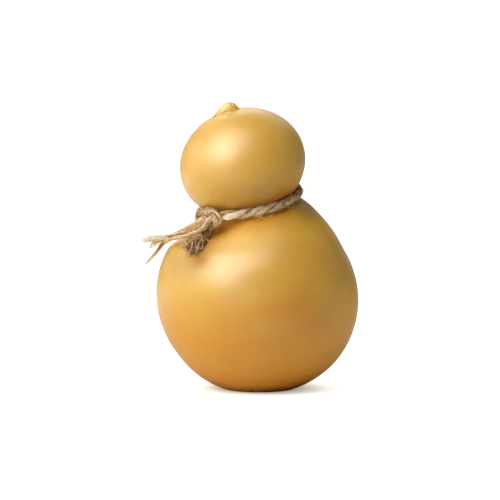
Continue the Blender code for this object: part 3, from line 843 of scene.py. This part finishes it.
def loose_bundle(bundle, stations, tones, count, thickness, lay, fray=0.0, core=0.72):
    """Fibres side by side along a route, round a darker core, which part towards its end. The core
    and the fibres nearer it are darker: painted shade.
    """
    path, share, away, across, beside = along_route(stations)
    part = away / away[-1]
    tones = np.broadcast_to(tones, part.shape)
    # The darker core is painted shade, and so is the darkening of fibres nearer it, below
    if core:
        inside = share * core * (1 - 0.75 * eased(part, 0.6, 0.85) * min(1, fray * 4))
        bundle.add(path[None], inside[None], 8, (tones - 0.2)[None])
    clumps = max(3, count // CLUMP)
    clump = np.arange(count) * clumps // count
    where = np.sqrt(drawn(count, 0.3, 1))
    angle = drawn(clumps, 0, tau)[clump] + rng.normal(0, 0.25, count)[:, None]
    angle = angle + tau * away[None] / lay + wander(away, clumps, 0.3, 0.1, 0.4)[clump]
    reach = where * share[None] * (1 + wander(away, count, 0.08, 0.3, 1))
    fibres = path[None] + round_about(across, beside, angle) * reach[..., None]
    if fray:
        stray = unit(rng.normal(size=(count, 3))) * fray * drawn(count, 0.2, 1.4)
        fibres = fibres + stray[:, None] * (eased(part, 0.6, 1.05) ** 1.5)[None, :, None]
    thinning = 1 - 0.75 * eased(part[None], drawn(count, 0.75, 0.97), 1.0)
    radii = thickness * drawn(count, 0.6, 1.3) * thinning * np.minimum(1, share / 0.6)[None]
    shade = tones[None] + rng.normal(0, 0.1, clumps)[clump][:, None]
    shade = shade + rng.normal(0, 0.08, count)[:, None] + 0.35 * (where - 0.85)
    bundle.add(fibres, radii, 4, shade)


def wild_fibres(bundle, stations, count, tone, low=0.0, high=1.0, scatter=0.17):
    """Fibres that wind loosely round a strand, each over its own stretch of it."""
    path, share, away, across, beside = along_route(stations)
    t = np.linspace(0, 1, 22)
    start = drawn(count, low, high) * away[-1]
    stops = np.clip(start + drawn(count, 2.5, 7) * (t - 0.5), 0, away[-1])
    to_ends = np.abs(2 * t - 1) ** 3
    turn = rng.choice((-1, 1), count)[:, None] * tau * (t - 0.5) * drawn(count, 0.3, 1.1)
    angle = drawn(count, 0, tau) + turn
    lift = drawn(count, 0.0, 0.55) * to_ends
    reach = np.interp(stops, away, share) * drawn(count, 0.88, 1.12) + lift
    places, across, beside = (read_off(stops, away, rows) for rows in (path, across, beside))
    fibres = places + round_about(across, beside, angle) * reach[..., None]
    radii = WILD_RADIUS * drawn(count, 0.6, 1.35) * (1 - 0.5 * to_ends)
    bundle.add(fibres, radii, 4, own_tones(tone, scatter, radii))


def hairs(bundle, roots, headings, lengths, curl, thickness, tone,
          scatter=0.15, wave=0.35, steps=12, sides=3):
    """Short loose fibres that leave their roots, bend away and wave."""
    count = len(roots)
    t = np.linspace(0, 1, steps)
    side = unit(np.cross(headings, unit(rng.normal(size=(count, 3)))))
    other = unit(np.cross(headings, side))
    lengths = lengths[:, None]
    swing = curl * drawn(count, 0.3, 1.3) * lengths * t**2
    ripple = np.sin(t * drawn(count, 5, 11) + drawn(count, 0, tau))
    ripple = 0.3 * wave * lengths * ripple * t**1.2
    paths = roots[:, None] + headings[:, None] * (lengths * t)[..., None]
    paths = paths + side[:, None] * swing[..., None] + other[:, None] * ripple[..., None]
    radii = thickness * drawn(count, 0.6, 1.3) * (1 - 0.7 * t**3)
    bundle.add(paths, radii, sides, own_tones(tone, scatter, radii))


def fuzz_on(bundle, stations, count, length, tone, outward=0.7, high=1.0, curl=0.7):
    """Hairs that stand off a strand, mostly along it."""
    path, share, _, across, beside = along_route(stations)
    pick = rng.integers(0, max(1, int(high * (len(path) - 1))), count)
    out = round_about(across[pick], beside[pick], rng.uniform(0, tau, count))
    roots = path[pick] + out * (share[pick] * 0.9)[:, None]
    along = unit(np.gradient(path, axis=0))[pick] * rng.choice((-1, 1), count)[:, None]
    headings = along + out * outward * drawn(count, 0.3, 1.6)
    headings = unit(headings + 0.35 * rng.normal(size=(count, 3)))
    lengths = length * rng.uniform(0.35, 1.3, count)
    hairs(bundle, roots, headings, lengths, curl, FUZZ_RADIUS, tone)


def placed_fibre(bundle, tone, thickness, stations):
    """One fibre through stations of (x, y, z)."""
    path = route(stations, STRAY_STEP)
    fade = 1 - 0.6 * np.abs(np.linspace(-1, 1, len(path))) ** 4
    bundle.add(path[None], (thickness * fade)[None], 5, np.full((1, len(path)), tone))


def spots_between(tips, places):
    """Spots on the line through the tips, at places counted from the first tip."""
    return read_off(places, np.arange(len(tips)), np.array(tips))


def fan(bundle, root, tips, count, tone, loose):
    """Fibres from one small place to spots spread between the tips."""
    t = np.linspace(0, 1, 14)
    ends = spots_between(tips, np.sort(rng.uniform(0, len(tips) - 1, count)))
    ends = ends + rng.normal(0, loose, (count, 3)) * (1.2, 0.6, 0.5)
    starts = np.array(root) + rng.normal(0, 0.28, (count, 3)) * (0.6, 1, 1)
    bow = rng.normal(0, 0.35, (count, 3)) * (0.3, 1, 1)
    paths = starts[:, None] + (ends - starts)[:, None] * t[:, None]
    paths = paths + bow[:, None] * np.sin(t * pi)[:, None]
    radii = FIBRE_RADIUS * drawn(count, 0.6, 1.3) * (1 - 0.65 * t**2)
    bundle.add(paths, radii, 4, own_tones(tone, 0.12, radii))


def make_ring(material, neck):
    """The three-ply ring, with one pale ply beside the knot, and its stray fibres."""
    plies, ring = [Bundle(), Bundle(), Bundle()], Bundle()
    # A painted highlight on the ring's ply where it faces the front, beside the knot
    glow = SPINDLE_GLOW * bump(neck[:, 0], SPINDLE_X, SPINDLE_WIDTH) * (neck[:, 1] < 0)
    laid_strand(plies, neck, 0.68, phase_facing_front(neck, SPINDLE_X), glow)
    pale = route(PALE_PLY, PLY_STEP)
    # The pale ply fades to the right; it is partly pale fibre and partly a painted highlight
    pale_tones = 1.15 - 0.42 * eased(pale[:, 0], -10.5, -5.0)
    loose_bundle(ring, pale, pale_tones, 80, 0.09, lay=30)
    loose_bundle(ring, route(UPPER_PLY, KNOT_STEP), 0.5, 50, 0.09, lay=10)
    wild_fibres(ring, neck, 150, 0.42, low=0.28, high=0.5, scatter=0.22)
    wild_fibres(ring, neck, 130, 0.66, low=0.1, scatter=0.26)
    for number, ply in enumerate(plies, 1):
        ply.make(f"twine_ring_ply_{number}", material)
    ring.make("twine_ring_fibres", material)


def make_knot(material, band, turn):
    """The knot: a tight loop at the right, and looser, darker turns behind it."""
    knot, notch = Bundle(), route(NOTCH, KNOT_STEP)
    part = np.linspace(0, 1, len(band))
    laid_strand([knot] * 3, band, 0.36 + 0.12 * eased(part, 0.45, 0.7), phase=0.4)
    laid_strand([knot] * 3, turn, 0.28, phase=2.0)
    loose_bundle(knot, notch, 0.26, 26, 0.08, lay=12)
    wild_fibres(knot, notch, 60, 0.42)
    wild_fibres(knot, turn, 110, 0.42, scatter=0.28)
    wild_fibres(knot, band, 110, 0.42, high=0.55, scatter=0.28)
    wild_fibres(knot, band, 30, 0.62, low=0.55)
    knot.make("twine_knot", material)


def make_long_end(material, sheaf, curl):
    """The opened long end: a sheaf that fans out, and one ply that curls down."""
    ends, gap = Bundle(), route(GAP)
    part = np.linspace(0, 1, len(sheaf))
    tones = 0.66 + 0.38 * eased(part, 0.6, 0.92)
    loose_bundle(ends, sheaf, tones, 110, FIBRE_RADIUS, lay=60, fray=0.4)
    part = np.linspace(0, 1, len(curl))
    brown = bump(part, 0.76, 0.09)
    tones = 0.64 + 0.07 * eased(part, 0.3, 0.5) - 0.5 * brown + 0.3 * eased(part, 0.86, 0.94)
    loose_bundle(ends, curl, tones, 64, 0.09, lay=90, fray=0.1)
    # The gap's fibres darken from the knot on, as painted shade between the sheaf and the curl
    part = np.linspace(0, 1, len(gap))
    loose_bundle(ends, gap, 0.55 - 0.43 * eased(part, 0.3, 0.5), 50, 0.09, lay=40)
    loose_bundle(ends, route(WEB), 0.56, 30, 0.085, lay=30)
    loose_bundle(ends, route(PRONG), 0.8, 14, 0.09, lay=60, fray=0.3, core=0)
    for root, tips, count, tone, loose in FANS:
        fan(ends, root, tips, count, tone, loose)
    ends.make("twine_long_end", material)


def make_tuft(material):
    """The short tuft: a dark brush with long wavy hairs, some of them pale. Its darkness is partly
    the jute's own and partly painted shade inside the tuft.
    """
    tuft, brush = Bundle(), route(TUFT)
    # The brush's darkness is partly painted shade inside the tuft
    loose_bundle(tuft, brush, 0.22, 60, 0.12, lay=30)
    for count, tone, thickness, proud, wave, far in TUFT_HAIRS:
        ends = spots_between(TUFT_TIPS, rng.uniform(0, len(TUFT_TIPS) - 1, count))
        ends = ends + rng.normal(0, 0.45, (count, 3))
        gaps = np.linalg.norm(brush[None, :, :3] - ends[:, None], axis=-1)
        pick = (np.argmin(gaps, axis=1) * rng.uniform(0.1, 0.85, count)).astype(int)
        roots = brush[pick, :3] + rng.normal(0, 0.55, (count, 3)) - (0, proud, 0)
        heading = (ends - roots) * far * drawn(count, 0.75, 1.12)
        lengths = np.linalg.norm(heading, axis=1)
        hairs(tuft, roots, unit(heading), lengths, 0.25, thickness, tone,
              scatter=0.17, wave=wave, steps=20, sides=4)
    tuft.make("twine_tuft", material)


def make_twine(material):
    """The ring, the knot and its ends, in place of the plain solid."""
    neck = route([*NECK_START, *ring_stations()])
    band, turn = route(BAND, KNOT_STEP), route(SECOND_TURN, KNOT_STEP)
    sheaf, curl = route(SHEAF), route(CURL)
    make_ring(material, neck)
    make_knot(material, band, turn)
    make_long_end(material, sheaf, curl)
    make_tuft(material)
    fuzz = Bundle()
    fuzz_on(fuzz, neck, 240, 3.0, 0.72)
    fuzz_on(fuzz, band, 150, 2.2, 0.55, curl=1.2)
    fuzz_on(fuzz, turn, 170, 2.2, 0.5, curl=1.2)
    fuzz_on(fuzz, sheaf, 50, 3.0, 0.7, outward=0.4, high=0.7)
    fuzz_on(fuzz, curl, 40, 3.0, 0.7, outward=0.4)
    for fibre in STRAY_FIBRES:
        placed_fibre(fuzz, *fibre)
    fuzz.make("twine_fuzz", material)


# -------- floor, light, camera

def make_floor():
    """A wide white floor with a soft contact shadow, partly painted: its glow is weaker and warmer
    near the foot.

    It is bright for the camera, and sends little light upward.
    """
    bpy.ops.mesh.primitive_plane_add(size=FLOOR_SIZE, location=(0, 0, 0))
    floor = bpy.context.object
    floor.name = "floor"
    material = bpy.data.materials.new("white floor")
    material.use_nodes = True
    tree = material.node_tree
    tree.nodes.clear()
    place = add_node(tree, "TexCoord", {}).outputs["Object"]
    away = add_node(tree, "VectorMath", {0: place}, "LENGTH").outputs["Value"]
    # A painted contact shadow: the glow is weaker and warmer near the foot
    near, wide = spread(tree, away, *CONTACT, 0.3, 0.8), spread(tree, away, *WIDE_GLOW, 0.0, 0.25)
    glow = add_node(tree, "Emission", {
        "Color": mixed(tree, spread(tree, away, *CONTACT), (1.0, 0.92, 0.8), WHITE),
        "Strength": add_node(tree, "Math", {0: near, 1: wide}, "ADD").outputs[0],
    })
    seen = add_node(tree, "BsdfDiffuse", {"Color": (0.75, 0.73, 0.7)})
    bright = add_node(tree, "AddShader", {0: seen.outputs[0], 1: glow.outputs[0]})
    dim = add_node(tree, "BsdfDiffuse", {"Color": (0.95, 0.92, 0.86)})
    depth = add_node(tree, "SeparateXYZ", {0: place}).outputs["Y"]
    grey = mixed(tree, spread(tree, depth, *FLOOR_DEPTH), (0.1, 0.095, 0.09), (1.0, 0.98, 0.95))
    dull = add_node(tree, "BsdfDiffuse", {"Color": grey})
    add_node(tree, "OutputMaterial", {"Surface": seen_by_rays(tree, dim, dull, bright)})
    floor.data.materials.append(material)


def make_world():
    """White for the camera. Reflections see white behind and little in front."""
    world = bpy.data.worlds.new("studio")
    bpy.context.scene.world = world
    world.use_nodes = True
    tree = world.node_tree
    tree.nodes.clear()
    place = add_node(tree, "TexCoord", {}).outputs["Generated"]
    depth = add_node(tree, "SeparateXYZ", {0: place}).outputs["Y"]
    fill, backdrop = spread(tree, depth, *FILL_RANGE), spread(tree, depth, *BACKDROP_RANGE)
    shades = (((1.0, 0.98, 0.95), fill), (WHITE, backdrop), (WHITE, 1.05))
    shaders = [add_node(tree, "Background", {"Color": c, "Strength": s}) for c, s in shades]
    add_node(tree, "OutputWorld", {"Surface": seen_by_rays(tree, *shaders)})


def add_light(light, aim, left, up, distance):
    """Puts a light so that it faces its aim, at degrees to the left of the front and up."""
    left, up = radians(left), radians(up)
    heading = Vector((-sin(left) * cos(up), -cos(left) * cos(up), sin(up)))
    lamp = bpy.data.objects.new(light.name, light)
    bpy.context.scene.collection.objects.link(lamp)
    lamp.location = Vector(aim) + heading * distance
    lamp.rotation_euler = (-heading).to_track_quat("-Z", "Y").to_euler()
    return lamp


def make_lights():
    """The soft boxes, and a narrow fill light that lifts the deep shadow at the knot."""
    for name, left, up, distance, size, power, colour in SOFTBOXES:
        light = bpy.data.lights.new(name, "AREA")
        light.shape = "RECTANGLE"
        light.size, light.size_y = size
        light.energy = power
        light.color = colour
        add_light(light, SOFTBOX_AIM, left, up, distance).visible_camera = False
    spot = bpy.data.lights.new("knot fill", "SPOT")
    spot.spot_size, spot.spot_blend = KNOT_FILL_CONE, 1.0
    spot.shadow_soft_size = 0.003
    spot.energy = KNOT_FILL_POWER
    add_light(spot, KNOT_FILL_AIM, -20, 5, 1.0)


def make_camera():
    """The photograph's view: a long lens from the front, 4 degrees down."""
    camera = bpy.data.cameras.new("camera")
    camera.lens, camera.sensor_width = LENS, SENSOR
    camera.clip_start, camera.clip_end = 0.01, 100
    view = bpy.data.objects.new("camera", camera)
    bpy.context.scene.collection.objects.link(view)
    look = Vector(CAMERA_AIM)
    view.location = look + Vector((0, -cos(CAMERA_DOWN), sin(CAMERA_DOWN))) * CAMERA_DISTANCE
    view.rotation_euler = (look - view.location).to_track_quat("-Z", "Y").to_euler()
    bpy.context.scene.camera = view


make_cheese(make_skin_material())
make_twine(make_jute_material())
make_floor()
make_world()
make_lights()
make_camera()
bpy.context.scene.view_settings.view_transform = "Standard"
